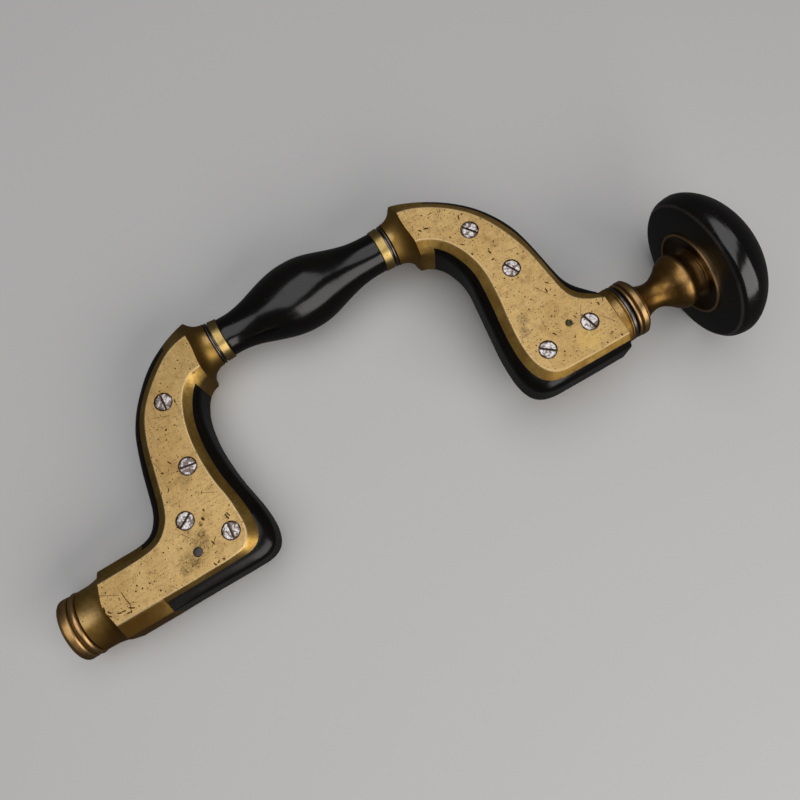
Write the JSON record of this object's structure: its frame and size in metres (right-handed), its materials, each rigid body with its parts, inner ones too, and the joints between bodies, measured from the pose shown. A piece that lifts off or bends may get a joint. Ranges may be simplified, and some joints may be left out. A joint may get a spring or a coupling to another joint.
{
  "type": "carpenter's brace",
  "caption": "Hand brace with two brass-cheeked ebony arms, a free-turning grip, a mushroom head and a square-socket chuck with a ring-worked spring catch.",
  "frame": {"origin": "centre of the chuck's mouth, on the brace's turning axis", "axes": "+X along the turning axis from the chuck to the head, +Y from that axis towards the grip, +Z normal to the plane of the bow"},
  "size_m": [0.3456, 0.1368, 0.0716],
  "materials": {
    "brass_frame": "worn satin with scratches and dings",
    "brass_turned": "lathe-turned, hand-worn",
    "ebony_frame": "polished black ebony",
    "ebony_turned": "glossy polished black ebony",
    "screw_steel": "worn, patinated in the slots",
    "tool_steel": "polished",
    "dark_steel": "filed flush, darkened"
  },
  "bodies": {
    "frame": {"lower_frame": "brass_frame", "lower_infill": "ebony_frame", "lower_screws_front": "screw_steel", "lower_screws_back": "screw_steel", "ring_stop_pin": "tool_steel", "catch_pin": "dark_steel", "upper_frame": "brass_frame", "upper_infill": "ebony_frame", "upper_screws_front": "screw_steel", "upper_screws_back": "screw_steel", "grip_spindle": "tool_steel", "grip_washer_lower": "tool_steel", "grip_washer_upper": "tool_steel", "head_washer": "tool_steel", "head_spindle": "tool_steel", "head_nut": "tool_steel"},
    "grip": {"grip": "ebony_turned", "grip_ferrule_lower": "brass_turned", "grip_ferrule_upper": "brass_turned"},
    "head": {"head_neck": "brass_turned", "head_plate": "brass_turned", "head_knob": "ebony_turned"},
    "ring": {"chuck_ring": "brass_turned"},
    "catch": {"catch_lever": "tool_steel", "catch_spring": "tool_steel"}
  },
  "joints": [
    {"name": "grip_spin", "type": "hinge", "parent": "frame", "child": "grip", "pos_m": [0.1582, 0.084, 0], "axis": [1, 0, 0], "continuous": true},
    {"name": "head_spin", "type": "hinge", "parent": "frame", "child": "head", "pos_m": [0.2952, 0, 0], "axis": [1, 0, 0], "continuous": true},
    {"name": "chuck_ring_turn", "type": "hinge", "parent": "frame", "child": "ring", "pos_m": [0.004, 0, 0], "axis": [1, 0, 0], "range_deg": [0, 40], "stiffness_Nm_per_rad": 0.05},
    {"name": "catch_lift", "type": "hinge", "parent": "frame", "child": "catch", "pos_m": [0.0656, 0, 0], "axis": [0, 0, -1], "range_deg": [0, 1.7]}
  ],
  "couplings": [
    {"joint": "catch_lift", "follows": "chuck_ring_turn", "ratio": 0.04}
  ]
}
